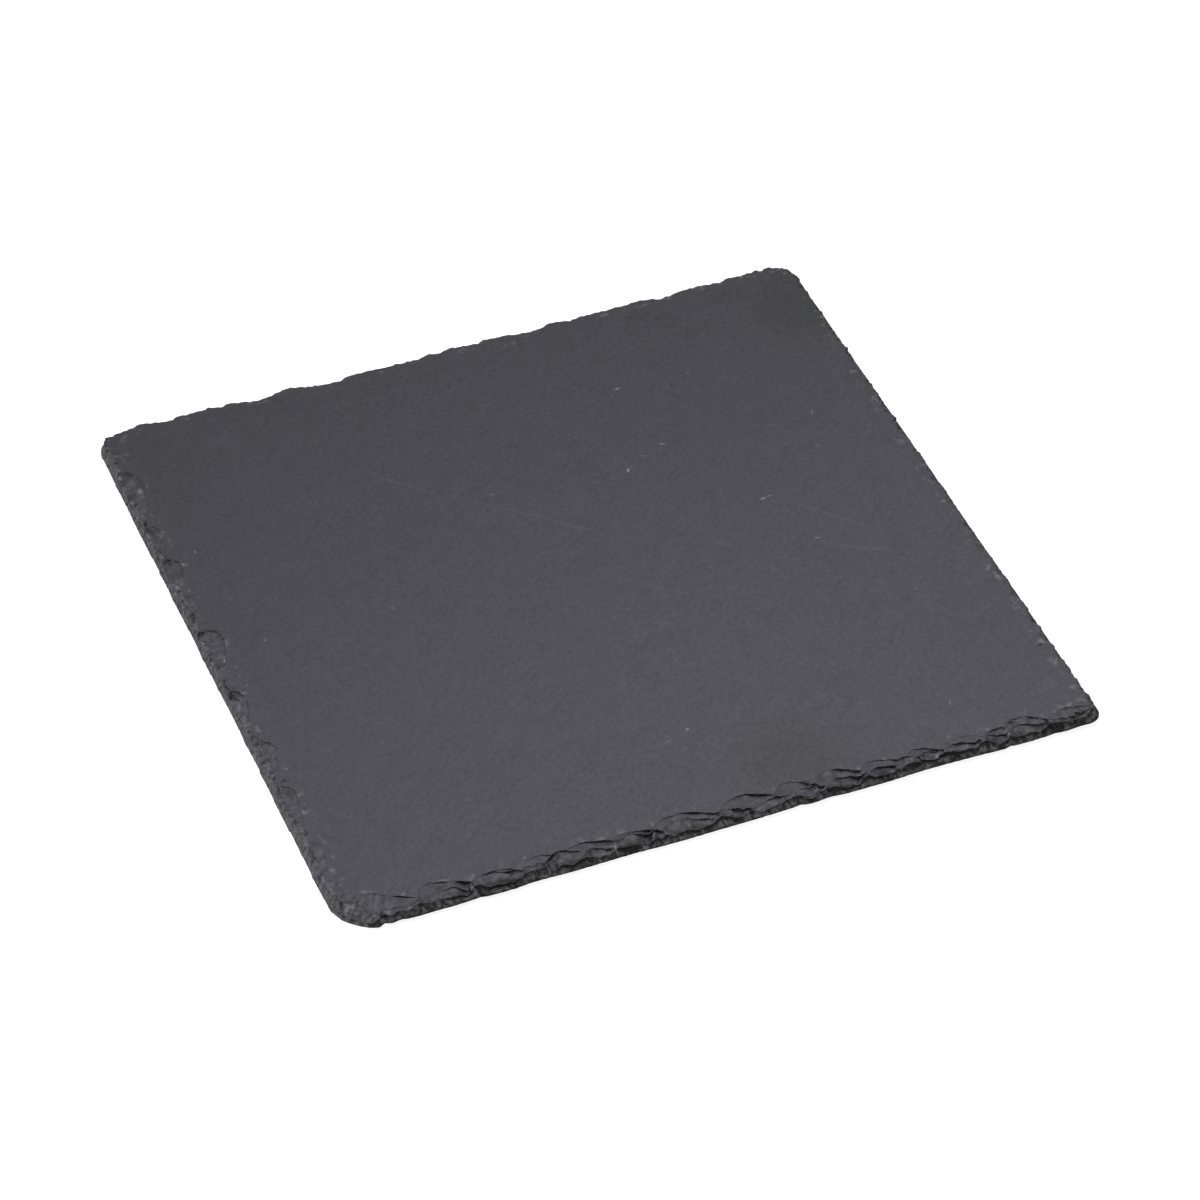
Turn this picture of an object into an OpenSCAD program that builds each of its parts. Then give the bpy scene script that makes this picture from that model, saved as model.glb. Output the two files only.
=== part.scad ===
/* [Slate slab] */
// Width of the slab along its front side
slab_w = 250; // [200:5:300]
// Depth of the slab from its front side to its back side
slab_d = 250; // [200:5:300]
// Thickness of the split slate
slab_t = 5; // [4:0.5:8]

/* [Corners] */
// Length that the front left corner loses along either side
front_left_cut = 12; // [4:1:18]
// Length that the front right corner loses along either side
front_right_cut = 6; // [3:1:18]
// Length that the back right corner loses along either side
back_right_cut = 7; // [3:1:18]
// Length that the back left corner loses along the back side
back_left_cut_w = 3; // [2:0.5:14]
// Length that the back left corner loses along the left side
back_left_cut_d = 8; // [2:0.5:14]
// Length that a corner of the flat serving face loses along either side
face_corner_cut = 6; // [2:1:18]

/* [Dressed edge] */
// Lean of the broken wall, from its foot in to its top
wall_lean = 1.4; // [0.4:0.1:2.5]
// Swell of the broken wall's middle beyond a straight slope
wall_swell = 0.3; // [0:0.1:0.6]
// Width of the flaked band, from the wall's top in to the serving face
band_w = 7; // [3:0.5:12]
// Usual length of one flake along the edge
flake_len = 13; // [8:1:24]
// Depth of the deepest flake below the serving face
flake_drop = 1.5; // [0.4:0.1:2.5]
// Depth to which the rim is worn where no flake has come off
rim_drop = 0.3; // [0:0.1:0.8]
// Width over which that wear fades out
rim_wear_w = 1.5; // [0.5:0.1:3]
// Deepest bite out of the front side
front_bite = 1; // [0:0.1:2.5]
// Deepest bite out of the right side
right_bite = 0.8; // [0:0.1:2.5]
// Deepest bite out of the back side
back_bite = 2; // [0:0.1:3]
// Deepest bite out of the left side
left_bite = 0.8; // [0:0.1:2.5]
// Usual length of one bite along the edge
bite_len = 9; // [5:1:20]

/* [Feet] */
// Diameter of a foam foot
foot_dia = 12; // [8:1:20]
// Thickness of a foam foot
foot_h = 2; // [1:0.5:4]
// Distance from a foot's middle in to the slab's left or right side
foot_inset_w = 25; // [18:1:60]
// Distance from a foot's middle in to the slab's front or back side
foot_inset_d = 25; // [18:1:60]
// Thickness of the adhesive film between a foot and the slate
film_t = 0.2; // [0.1:0.05:0.5]
// Distance from the foot's rim in to the film's rim
film_setback = 0.3; // [0:0.1:1]

/* [Hidden] */
$fn = 64;

// Distance between neighbouring points of the slab's outline
edge_pitch = 3;
// Points of one corner
corner_steps = 5;
// Rows of facets across the flaked band
band_steps = 4;
// Height of the wall's swell as a share of the wall's height
swell_height_share = 0.4;
// Least and greatest length, reach and depth of a flake, as shares of the usual or greatest one
flake_len_shares = [0.45, 0.9];
flake_reach_shares = [0.35, 0.95];
flake_drop_shares = [0.35, 1];
// Part of a flake's reach over which its floor climbs back to the serving face
flake_climb_share = 0.35;
// Part of the outline's bites that end flush with the nominal side
flush_share = 0.3;
// Where a flake's middle may lie in its own stretch of the edge
flake_place_shares = [0.25, 0.75];
// Turns and gain that scatter whole numbers evenly
pick_turn = 127.1;
pick_use_turn = 311.7;
pick_gain = 43758.5453;
// Roundness of each corner, from a straight chamfer at 0 to a full arc at 1
corner_round_shares = [0.8, 1, 1, 0.15];

// Corners run anticlockwise from the front left one, and side k leaves corner k
corner_signs = [[-1, -1], [1, -1], [1, 1], [-1, 1]];
side_dirs = [[1, 0], [0, 1], [-1, 0], [0, -1]];
side_lens = [slab_w, slab_d, slab_w, slab_d];
side_starts = [0, slab_w, slab_w + slab_d, 2 * slab_w + slab_d];
perimeter = 2 * (slab_w + slab_d);
side_bites = [front_bite, right_bite, back_bite, left_bite];
last_side = len(side_lens) - 1;

// Lengths that each corner loses along the side before it and the side after it
slab_cuts = [
    [front_left_cut, front_left_cut],
    [front_right_cut, front_right_cut],
    [back_right_cut, back_right_cut],
    [back_left_cut_w, back_left_cut_d]
];
face_cuts = [for (k = [0 : last_side]) [face_corner_cut, face_corner_cut]];
edge_w = wall_lean + band_w;

side_steps = [
    for (k = [0 : last_side])
    round((side_lens[k] - slab_cuts[k][1] - slab_cuts[next(k)][0]) / edge_pitch)
];
flake_count = round(perimeter / flake_len);
flake_pitch = perimeter / flake_count;
bite_count = round(perimeter / bite_len);
bite_pitch = perimeter / bite_count;

slab_z = foot_h + film_t;
foot_x = slab_w / 2 - foot_inset_w;
foot_y = slab_d / 2 - foot_inset_d;

function next(k) = (k + 1) % len(side_lens);
function previous(k) = (k + last_side) % len(side_lens);
function mix(a, b, share) = a + (b - a) * share;
function between(shares, pick) = mix(shares[0], shares[1], pick);

// A fixed number from 0 to 1 for each whole number and each use of it
function pick(number, use) =
    let (turned = sin(number * pick_turn + use * pick_use_turn) * pick_gain)
    turned - floor(turned);

// A point of a corner, from the end of one side at 0 to the start of the next at 1
function corner_point(spot, before, after, round_share, step_share) =
    let (
        chamfer = mix(before, after, step_share),
        arc = before * (1 - sin(90 * step_share)) + after * (1 - cos(90 * step_share))
    )
    spot + mix(chamfer, arc, round_share);

// Outline of the slab drawn in by an inset, with the given corner cuts
function outline(inset, cuts) = [
    for (k = [0 : last_side])
    let (
        spot = corner_spot(k, inset),
        before = -side_dirs[previous(k)] * cuts[k][0],
        after = side_dirs[k] * cuts[k][1],
        start = spot + after,
        finish = corner_spot(next(k), inset) - side_dirs[k] * cuts[next(k)][0]
    )
    each concat(
        [
            for (j = [0 : corner_steps - 1])
            corner_point(spot, before, after, corner_round_shares[k], j / corner_steps)
        ],
        [for (j = [0 : side_steps[k] - 1]) mix(start, finish, j / side_steps[k])]
    )
];

function corner_spot(k, inset) = [
    corner_signs[k][0] * (slab_w / 2 - inset),
    corner_signs[k][1] * (slab_d / 2 - inset)
];

// Distance run along the slab's edge at each point of the outline
runs = [
    for (k = [0 : last_side])
    let (
        lost = slab_cuts[k][0] + slab_cuts[k][1],
        straight = side_lens[k] - slab_cuts[k][1] - slab_cuts[next(k)][0]
    )
    each concat(
        [for (j = [0 : corner_steps - 1]) side_starts[k] - slab_cuts[k][0] + lost * j / corner_steps],
        [for (j = [0 : side_steps[k] - 1]) side_starts[k] + slab_cuts[k][1] + straight * j / side_steps[k]]
    )
];

// Deepest bite at each point of the outline
bite_limits = [
    for (k = [0 : last_side])
    each concat(
        [for (j = [0 : corner_steps - 1]) mix(side_bites[previous(k)], side_bites[k], j / corner_steps)],
        [for (j = [0 : side_steps[k] - 1]) side_bites[k]]
    )
];

// How deep the outline is bitten at a run, as a share of the deepest bite
function bite_end_share(number) =
    max(0, pick((number + bite_count) % bite_count, 1) - flush_share) / (1 - flush_share);
function bite_share(run) =
    let (place = run / bite_pitch, number = floor(place))
    mix(bite_end_share(number), bite_end_share(number + 1), place - number);

// Depth of one flake at a run along the edge and a reach in from the wall's top
function one_flake(number, run, reach) =
    let (
        wrapped = (number + flake_count) % flake_count,
        middle = (number + between(flake_place_shares, pick(wrapped, 2))) * flake_pitch,
        half_len = flake_len * between(flake_len_shares, pick(wrapped, 3)),
        full_reach = band_w * between(flake_reach_shares, pick(wrapped, 4)),
        depth = flake_drop * between(flake_drop_shares, pick(wrapped, 5)),
        radius = norm([(run - middle) / half_len, reach / full_reach])
    )
    depth * max(0, min(1, (1 - radius) / flake_climb_share));

function rim_wear(reach) = rim_drop * max(0, 1 - reach / rim_wear_w);

function drop(run, reach) =
    let (number = floor(run / flake_pitch))
    max(rim_wear(reach), max([for (n = [number - 1 : number + 1]) one_flake(n, run, reach)]));

foot_outline = outline(0, slab_cuts);
face_outline = outline(edge_w, face_cuts);
ring_len = len(foot_outline);

// One ring of points at a reach in from the slab's foot, with a height for each point
function ring(reach, heights) = [
    for (i = [0 : ring_len - 1])
    let (
        bitten = bite_limits[i] * bite_share(runs[i]) / edge_w,
        spot = mix(foot_outline[i], face_outline[i], mix(bitten, 1, reach / edge_w))
    )
    [spot[0], spot[1], slab_z + heights[i]]
];

wall_tops = [for (run = runs) slab_t - drop(run, 0)];
slab_rings = concat(
    [
        ring(0, [for (top = wall_tops) 0]),
        ring(
            wall_lean * swell_height_share - wall_swell * swell_height_share,
            [for (top = wall_tops) top * swell_height_share]
        ),
        ring(wall_lean, wall_tops)
    ],
    [
        for (j = [1 : band_steps])
        let (reach = band_w * j / band_steps)
        ring(wall_lean + reach, [for (run = runs) slab_t - drop(run, reach)])
    ]
);

// Two triangles between neighbouring points of neighbouring rings
function patch(row, i) =
    let (
        here = row * ring_len + i,
        beside = row * ring_len + (i + 1) % ring_len,
        above = here + ring_len,
        above_beside = beside + ring_len
    )
    [[here, above, beside], [beside, above, above_beside]];

module slate_slab() {
    top_row = len(slab_rings) - 1;
    edge_points = [for (ring_points = slab_rings) each ring_points];
    low_middle = len(edge_points);
    high_middle = low_middle + 1;
    middles = [[0, 0, slab_z], [0, 0, slab_z + slab_t]];
    underside = [for (i = [0 : ring_len - 1]) [i, (i + 1) % ring_len, low_middle]];
    serving_face = [
        for (i = [0 : ring_len - 1])
        [top_row * ring_len + (i + 1) % ring_len, top_row * ring_len + i, high_middle]
    ];
    skirt = [for (row = [0 : top_row - 1]) for (i = [0 : ring_len - 1]) each patch(row, i)];
    color([0.32, 0.31, 0.34])
    polyhedron(points = concat(edge_points, middles), faces = concat(underside, serving_face, skirt));
}

module at_foot(k) {
    translate([corner_signs[k][0] * foot_x, corner_signs[k][1] * foot_y, 0])
    children();
}

module foam_foot(k) {
    color([0.08, 0.08, 0.08])
    at_foot(k)
    cylinder(d = foot_dia, h = foot_h);
}

module adhesive_film(k) {
    color([0.85, 0.83, 0.75])
    at_foot(k)
    translate([0, 0, foot_h])
    cylinder(d = foot_dia - 2 * film_setback, h = film_t);
}

slate_slab();
foam_foot(0);  // foam_foot_front_left
foam_foot(1);  // foam_foot_front_right
foam_foot(2);  // foam_foot_back_right
foam_foot(3);  // foam_foot_back_left
adhesive_film(0);  // adhesive_front_left
adhesive_film(1);  // adhesive_front_right
adhesive_film(2);  // adhesive_back_right
adhesive_film(3);  // adhesive_back_left
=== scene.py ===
"""Slate serving board: a slab of split slate with flaked edges, standing on four foam feet."""
import math

import bmesh
import bpy
from bpy.props import FloatProperty, FloatVectorProperty, IntProperty, PointerProperty
from mathutils import Euler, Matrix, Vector, noise


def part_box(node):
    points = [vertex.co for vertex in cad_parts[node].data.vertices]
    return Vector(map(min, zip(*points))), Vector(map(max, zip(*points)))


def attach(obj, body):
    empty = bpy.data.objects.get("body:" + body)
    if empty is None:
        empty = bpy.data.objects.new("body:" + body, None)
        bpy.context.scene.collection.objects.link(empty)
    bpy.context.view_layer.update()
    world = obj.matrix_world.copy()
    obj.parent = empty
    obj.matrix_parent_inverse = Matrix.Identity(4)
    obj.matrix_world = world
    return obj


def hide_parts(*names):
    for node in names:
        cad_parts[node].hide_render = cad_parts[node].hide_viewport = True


bl_info = {
    "name": "Slate serving board",
    "version": (1, 0, 0),
    "blender": (4, 5, 0),
    "location": "View3D > Sidebar > Board",
    "description": "Dresses a slate serving board and sets a plain studio round it",
    "category": "Object",
}

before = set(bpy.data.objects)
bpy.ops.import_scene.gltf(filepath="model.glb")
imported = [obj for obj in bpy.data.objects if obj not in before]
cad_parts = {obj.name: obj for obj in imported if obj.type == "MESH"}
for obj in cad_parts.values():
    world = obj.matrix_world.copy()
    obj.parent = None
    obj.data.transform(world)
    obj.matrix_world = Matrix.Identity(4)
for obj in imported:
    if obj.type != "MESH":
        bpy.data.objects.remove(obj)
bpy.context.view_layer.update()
slab_low, slab_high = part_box("slate_slab")

PLACES = ("front_left", "front_right", "back_right", "back_left")

# Side k of the outline leaves corner k, anticlockwise from the front left corner
CORNER_SIGNS = ((-1, -1), (1, -1), (1, 1), (-1, 1))
SIDE_DIRS = ((1, 0), (0, 1), (-1, 0), (0, -1))

# Light nicks and scratches on the serving face, and light spots on it and on its rims, in millimetres and
# degrees:
# place, turn, half length, half width and strength
LIGHT_MARKS = (
    (43.5, 80.5, 20, 1.5, 0.55, 0.8), (40.2, 77.5, 60, 1.2, 0.3, 0.35), (68.3, 79.5, 80, 1, 0.45, 0.35),
    (46.5, 48, -20, 1.6, 0.4, 0.7), (38.5, 44.5, -35, 1.8, 0.3, 0.4), (42, 43, 40, 1.2, 0.3, 0.3),
    (31.2, 39.5, 70, 1, 0.55, 0.9), (32.8, 41, 20, 1.2, 0.3, 0.3), (98.4, 44.6, 70, 1.5, 0.35, 0.45),
    (66.2, 9.4, -5, 1.3, 0.5, 1), (68.6, 9.8, 10, 1.5, 0.3, 0.4), (93, 28, -25, 1.1, 0.35, 0.3),
    (75, -15.5, -40, 1.4, 0.4, 0.5), (1.9, -84.3, 0, 0.8, 0.6, 1), (-5.5, -87, 20, 1.3, 0.3, 0.4),
    (81.5, -104, 70, 1.1, 0.35, 0.45), (-112.5, 54.4, 90, 0.7, 0.5, 0.6), (-105.2, 5.1, 45, 0.7, 0.5, 0.6),
    (-62.8, 4, -60, 1.5, 0.3, 0.4), (-14, 45, 0, 1, 0.35, 0.35), (-6.3, 30.5, -43.5, 31, 0.35, 0.13),
    (86.4, -25.5, -32, 22, 0.35, 0.13), (83.7, -6.8, -50, 23, 0.35, 0.12), (6.2, 18.3, -30, 5.5, 0.3, 0.15),
    (-40, 62, -48, 17, 0.35, 0.12), (20, -20, -40, 14, 0.35, 0.1), (-120.1, 1.2, 80, 0.9, 0.4, 1),
    (-119.3, 3.6, 65, 0.8, 0.35, 0.8), (-118.1, -54.3, 80, 0.6, 0.4, 0.6), (-118, -7.6, 90, 0.7, 0.4, 0.35),
    (-117.9, -3.6, 90, 0.8, 0.4, 0.35), (-117.2, -13, 70, 1.2, 0.4, 0.3), (-119.8, -43.5, 80, 0.9, 0.5, 0.3),
    (-122, -123.6, 60, 1.2, 0.5, 0.8), (-119.2, 92, 63, 2.4, 1, 0.55), (-120, 66.5, 68, 3.4, 0.8, 0.28),
    (-119.3, 88.2, 88, 1, 0.5, 0.4), (-118.4, -88.2, -77, 1.2, 0.4, 0.35), (-117.9, -71.5, 79, 1, 0.4, 0.2),
    (-119.7, -66.7, 86, 1, 0.4, 0.25), (20.3, 116.8, 31, 1.6, 1, 0.28), (119.8, -55.4, 90, 2.7, 0.5, 0.25),
    (119.7, -49.6, 71, 1, 0.8, 0.35), (119.6, 17.8, -30, 1, 0.6, 0.35), (119.6, -3.3, -88, 1.9, 0.4, 0.3),
    (118.4, 4.3, 71, 1.6, 0.6, 0.2), (119.9, 51.1, 74, 1, 0.6, 0.3), (119.7, -67.4, 86, 2.5, 0.4, 0.2),
    (119.9, 79.5, 68, 0.8, 0.6, 0.3), (53.6, 119.3, 3, 1, 0.5, 0.3), (4.1, 119.5, -7, 1.1, 0.5, 0.3),
    (25.4, 118.7, 4, 1, 0.6, 0.25), (-48, 119.8, 0, 1.4, 0.3, 0.5), (115.3, 119.7, 0, 1.5, 0.35, 0.5),
    (17.3, 116.8, -65, 0.7, 0.6, 0.3),
)
# Dark scratches of the face, and painted shade in hollows of the broken edge, in the same way
DARK_SCRATCHES_AND_SHADE = (
    (119.2, -90.1, 0, 1.6, 0.55, 0.9), (-21.3, -72, -70, 4.2, 0.35, 0.25), (83, -28, -38, 17, 0.35, 0.15),
    (96, -32, -60, 4, 0.4, 0.2), (30.5, 38, 30, 0.9, 0.4, 0.5), (65, 8.2, 60, 0.9, 0.35, 0.5),
    (88, 47, -45, 1.6, 0.4, 0.3), (48, 18, -60, 5, 0.3, 0.15), (-119.4, -123.6, -64, 1.3, 0.8, 0.9),
    (-39, -121.6, -14, 4.8, 0.9, 0.75), (26.4, -120.1, -21, 1.8, 0.7, 0.7),
    (95.2, -119.2, -1, 2.3, 0.7, 0.9), (-124.2, 4.3, 75, 1.4, 0.6, 0.8), (-123.7, 102, 59, 1.4, 0.6, 0.8),
    (-123.4, -109.4, -56, 1.6, 0.7, 0.85), (-123.5, 23.2, 73, 2.6, 0.9, 0.7),
    (-123.3, -9.2, 75, 2.6, 0.7, 0.7), (-123.1, -15, 56, 3.9, 1.2, 0.6), (-122.7, 7.4, -58, 1.6, 1, 0.8),
    (-122.4, 70, -73, 3.8, 1.2, 0.6), (-122.3, -83.4, -55, 1.5, 1, 0.8), (-122.2, -39.2, -38, 1.5, 0.7, 0.8),
    (-121.4, 53.2, -50, 3.2, 0.9, 0.7), (-120.7, 100.4, -38, 3.1, 0.9, 0.6),
    (-120.6, -59.1, 21, 1.4, 0.9, 0.85), (-119.5, 15.7, -32, 3.2, 0.7, 0.6),
)
# Painted shade in the hollows of the front wall, in the same way
WALL_HOLLOW_SHADE = (
    (-87, -124.4, 0, 3, 1.2, 0.5), (-73.2, -124, -2, 8, 1.2, 0.9), (-53, -124, -10, 2.5, 1.2, 0.75),
    (-48.5, -124, -15, 2.8, 1.2, 0.75), (-32.5, -124, 3, 4.2, 1.2, 0.8), (-25.4, -123.6, -26, 4.6, 1.4, 0.7),
    (-17, -123.8, 11, 2, 0.9, 0.8), (-11, -123.6, -9, 4.2, 1.1, 0.85), (5, -124.4, 0, 5, 1.2, 0.5),
    (25.2, -124, -5, 1.6, 0.7, 0.7), (36.5, -124.4, 0, 10, 1.5, 0.9), (39.5, -123.8, -6, 3.4, 0.9, 0.8),
    (51.5, -124, -15, 3.4, 1.4, 0.8), (76.5, -124.2, 0, 4.5, 1.4, 0.7), (95.5, -124.4, 0, 4.5, 1.4, 0.7),
    (106.8, -123.8, -6, 6.5, 1.8, 0.6), (117.8, -124.2, -8, 3.2, 1.1, 0.7),
)
# Dull patches of the face, in the same way
FACE_SMUDGES = ((116.5, 96.5, 0, 20, 20, 0.9), (25.8, -109.5, 0, 22, 22, 0.72))
# How far under the face the painted shade of the front wall's hollows lies, and how far a mark reaches up and
# down, in metres
WALL_MARK_DEPTH = 0.0022
MARK_HALF_HEIGHT = 0.003

# Layers that split off, in millimetres along their side: start, deepest point, end, reach in from the
# outline and share of the full thickness. A share less than nothing turns the thick end to the start.
# The front runs from left to right, the left from front to back.
FRONT_SHEETS = (
    (-150, -130, -106, 6.5, 0.1), (-131, -117, -97, 8.3, 0.4), (-101, -95, -80, 6.8, 0.8),
    (-84, -76, -64, 4.8, 0.4), (-73, -61, -53, 5.6, 0.3), (-56, -46, -34, 5.8, 0.9), (-38, -34, -18, 4.8, 1),
    (-26, -16.5, -1, 6.6, 0.8), (-4, 5.5, 18, 7, 1), (14, 21, 31, 6.6, 0.6), (28, 34.5, 47, 7.2, 1),
    (43, 48, 62, 5.6, 0.8), (58, 63, 71, 5.5, 0.7), (68, 79, 87, 5.4, 0.2), (83, 91, 95, 4.8, 0.7),
    (91, 97.5, 109, 6.6, 0.9), (104, 115, 127, 5.2, 0.35),
)
FRONT_CHIPS = (
    (-146, -128, -110, 4.4, 0.15), (-120, -112, -98, 2.4, 0.2), (-99, -92, -82, 3.4, 0.6),
    (-84, -77, -63, 4.6, 0.8), (-61, -54, -43, 4.8, -1), (-50, -44, -36, 3.4, 0.7), (-39, -32, -19, 4.2, 1),
    (-22, -16, -3, 4.8, 0.5), (-6, 1, 9, 3.4, 0.8), (6, 13, 22, 3.2, 0.8), (20, 26, 33, 3.8, 0.7),
    (31, 37, 47, 4.2, 0.9), (45, 50, 57, 3.8, 0.9), (54, 59, 66, 3.6, 0.8), (63, 66, 73, 4.2, 0.7),
    (70, 76, 86, 3.6, 0.9), (83, 88, 95, 3.4, 0.8), (92, 97, 108, 4.4, 0.8), (103, 116, 127, 1.6, 1),
)
LEFT_SHEETS = (
    (-115, -92, -86, 5.5, 0.3), (-88, -66, -60, 6.2, 0.5), (-62, -44, -38, 6.6, 0.7),
    (-38, -18, -13, 5.4, 0.7), (-11, 13, 17, 7.8, 0.7), (17, 31, 36, 5.2, 0.3), (34, 49, 55, 6.6, 0.7),
    (54, 67, 74, 5.2, 0.5), (73, 94, 102, 7.6, 0.7), (101, 109, 117, 5.4, 0.3),
)

# Foot of the front wall, from left to right: millimetres along and broken back from the straight outline,
# or standing out of it where less than nothing
FRONT_FOOT = (
    (-125, -0.2), (-113, -0.42), (-111.5, 0.6), (-109, -0.16), (-106, 0.24), (-104, -0.21), (-100, -0.36),
    (-95, -0.21), (-90, -0.31), (-83, -0.01), (-81, 0.24), (-79, -0.21), (-75, -0.36), (-70, -0.31),
    (-65, 0.19), (-60, 0.19), (-53, -0.05), (-45, 0.02), (-38, 0.18), (-30, 0.25), (-22, -0.08),
    (-15, -0.12), (-5, 0.05), (5, 0.12), (15, 0.34), (20, 0.55), (23, 0.85), (25, 0.35), (27, 0.15),
    (31, 0.55), (33, 0.65), (38, 0.15), (50, 0.15), (56, 0.3), (60, 0.55), (65, 0.65), (70, 0.65),
    (80, 0.45), (85, 0.25), (91, 0), (93, 0.55), (95, 0.25), (100, 0.15), (105, 0.35), (108, 0.65),
    (112, 0.25), (119, 0.75), (125, 0.6),
)
# Rim of the face along the back, from left to right: millimetres along and in from the outline
BACK_RIM = (
    (-125, 3), (-118, 2), (-112, 2), (-109.5, 1.3), (-103, 3), (-99, 3.5), (-92, 2.3), (-88, 2.8),
    (-86, 1.7), (-81, 3.2), (-79, 2.3), (-72, 4.3), (-64, 4), (-61.5, 2.9), (-54, 2.7), (-47, 5), (-39, 4.9),
    (-33, 3.5), (-25, 4), (-12, 4.7), (-10, 3.7), (0, 3), (10, 3.9), (14, 3), (22, 4.2), (33, 4.2),
    (37, 2.9), (41, 4), (48, 3.5), (56, 3.2), (67, 3.1), (76, 4.9), (82, 3.4), (90, 3), (97, 4), (101, 2.8),
    (110, 3.2), (116, 2.6), (125, 3),
)

# Shares for the front, right, back and left side: of the wall's lean, its shards' slant, its hollows, the
# painted shade under its lip and towards its foot, the painted light on it, the floors' patches, the rim's
# crumbs and painted glints, and scattered flakes' sizes
WALL_LEANS = (0.3, 1.9, 1.2, 0.6)
SHARD_LEANS = (0.42, 0.05, 0, 0.05)
HOLLOWS = (1, 1, 1, 0.3)
LIP_SHADES = (1, 1, 1, 0.2)
PAINTED_WALL_LIGHTS = (0.34, 0.2, 0, 1)
PATCHY_FLOORS = (1, 1, 1, 1.4)
RIM_GLINTS = (1, 1.5, 1.3, 1.3)
SCATTERED_REACHES = (1.0, 0.65, 1.0, 0.8)
SCATTERED_THICKS = (1.0, 0.3, 1.0, 0.5)
# Roughness of the outline on those sides, in metres
OUTLINE_ROUGHNESS = (0.0, 0.0002, 0.0006, 0.0004)
# How much of an arc each corner is, and not a straight cut, from the front left one on
CORNER_ROUNDNESS = (0.62, 1.0, 1.0, 0.7)

# Powers that shape a bow from its start to its peak, and from there to its end
BOW_RISE = (2.4, 0.7)
BOW_FALL = (1.7, 0.85)
# Gentle waves of the split face: waves a metre, seed and height. The face sinks a little, so that they
# stay under the solid's top.
FACE_WAVES = ((22, 1.5, 0.00012), (120, 7.5, 0.00003))
FACE_SINK = 0.00015
# How much the face drops at its rim
RIM_DROP = 0.00005
# How far a thin layer's riser slants out, and the share of its height that a thick one overhangs by
RISER_SLANT = 0.00005
OVERHANG = 0.3
# Height of a layer that still counts as thin, with less of the painted shade at its riser and of the steep
# look
THIN_LAYER = 0.0004
# Broken wall: width, height and seed of its small and its large hollows, and height of its grains
SMALL_HOLLOWS = (0.0019, 0.0042, 0.4)
LARGE_HOLLOWS = (0.0065, 0.004, 7.4)
WALL_GRAINS = 0.00012
# Edges that turn by more than this are drawn sharp
SHARP_TURN = math.radians(28)

# Round of a foot's rims, and rows of faces in it
FOOT_ROUND = 0.0003
FOOT_ROUND_ROWS = 3

# Plain studio: lamps' sizes, the point that they face, and half the floor's side
SIDE_LIGHT_SIZE = (1.2, 1.2)
TOP_LIGHT_SIZE = (0.6, 0.15)
LIT_POINT = (0, -0.06, 0)
FLOOR_HALF = 3.0


def length(name, description, default, least=0.0):
    return FloatProperty(name=name, description=description, default=default, min=least, unit="LENGTH")


def cut(name, default, side="either side"):
    return length(name, "Length that the corner loses along " + side, default, 0.001)


def place_at(name, description, default):
    return FloatVectorProperty(
        name=name, description=description, subtype="TRANSLATION", unit="LENGTH", size=3, default=default)


def count(name, description, default, least):
    return IntProperty(name=name, description=description, default=default, min=least)


def power(name, description, default):
    return FloatProperty(name=name, description=description, default=default, min=0.0, unit="POWER")


def colour(name, description, default):
    return FloatVectorProperty(
        name=name, description=description, subtype="COLOR", size=3, default=default, min=0.0, max=1.0)


class SlateSizes(bpy.types.PropertyGroup):
    """Sizes of the slab's broken edge"""

    front_left_cut: cut("Front left corner", 0.0115)
    front_right_cut: cut("Front right corner", 0.006)
    back_right_cut: cut("Back right corner", 0.009)
    back_left_cut_w: cut("Back left corner, back", 0.004, "the back side")
    back_left_cut_d: cut("Back left corner, left", 0.008, "the left side")
    face_corner_cut: length(
        "Face corner", "Length that a corner of the flat face loses along either side", 0.006, 0.001)
    wall_lean: length("Wall lean", "Lean of the broken wall from its foot to its top", 0.0010)
    band_w: length("Flaked band", "Width of the flaked band over the wall", 0.0095, 0.002)
    sheet_len: length("Sheet length", "Usual length of a thin sheet that split off the face", 0.017, 0.004)
    sheet_reach: length("Sheet reach", "Usual reach of a thin sheet in from the outline", 0.0048, 0.001)
    sheet_depth: length("Sheet depth", "Greatest thickness of a thin sheet", 0.0012, 0.0001)
    chip_len: length("Chip length", "Usual length of a chip broken out under a sheet", 0.0105, 0.003)
    chip_reach: length("Chip reach", "Usual reach of a chip in from the outline", 0.0034, 0.0005)
    chip_depth: length("Chip depth", "Greatest thickness of a chip", 0.0012, 0.0001)
    corner_sink: length(
        "Corner sink", "How much lower the broken floors lie at the front left corner", 0.0013)
    hollow: length("Wall hollows", "Depth of the shell-shaped hollows in the broken wall", 0.0006)
    around: count("Squares along a side", "Squares of the serving face's mesh along one side", 100, 20)
    finer: count("Finer at the edge", "Edge points for each square of the face's mesh", 6, 2)
    under: count("Coarser underside", "Squares of the face's mesh for each one of the underside's", 2, 1)
    wall_rows: count("Wall rows", "Rows of faces up the broken wall", 13, 3)


class SlateColours(bpy.types.PropertyGroup):
    """Colours of the board's pieces"""

    face: colour("Face", "Split face of the slate", (0.0563, 0.0546, 0.0642))
    broken: colour("Broken edge", "Freshly broken slate", (0.098, 0.097, 0.100))
    # Also the colour of the painted shade in gaps under thick layers, in hollows and under the wall's lip
    dark_slate_and_shade: colour("Crevices", "Darkest parts of the broken slate", (0.016, 0.016, 0.016))
    # Also the colour of the painted glints at the face's rim, the painted highlights on the wall's ridges and
    # the painted light on the walls
    powder_and_painted_light: colour("Powder", "Crushed slate on nicks and sharp rims", (0.22, 0.22, 0.22))
    smudge: colour("Smudge", "Dull patches of the face", (0.047, 0.0478, 0.0515))
    foam: colour("Foam", "Foam of the feet", (0.022, 0.022, 0.023))
    adhesive: colour("Adhesive", "Film that holds a foot", (0.62, 0.60, 0.52))


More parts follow.
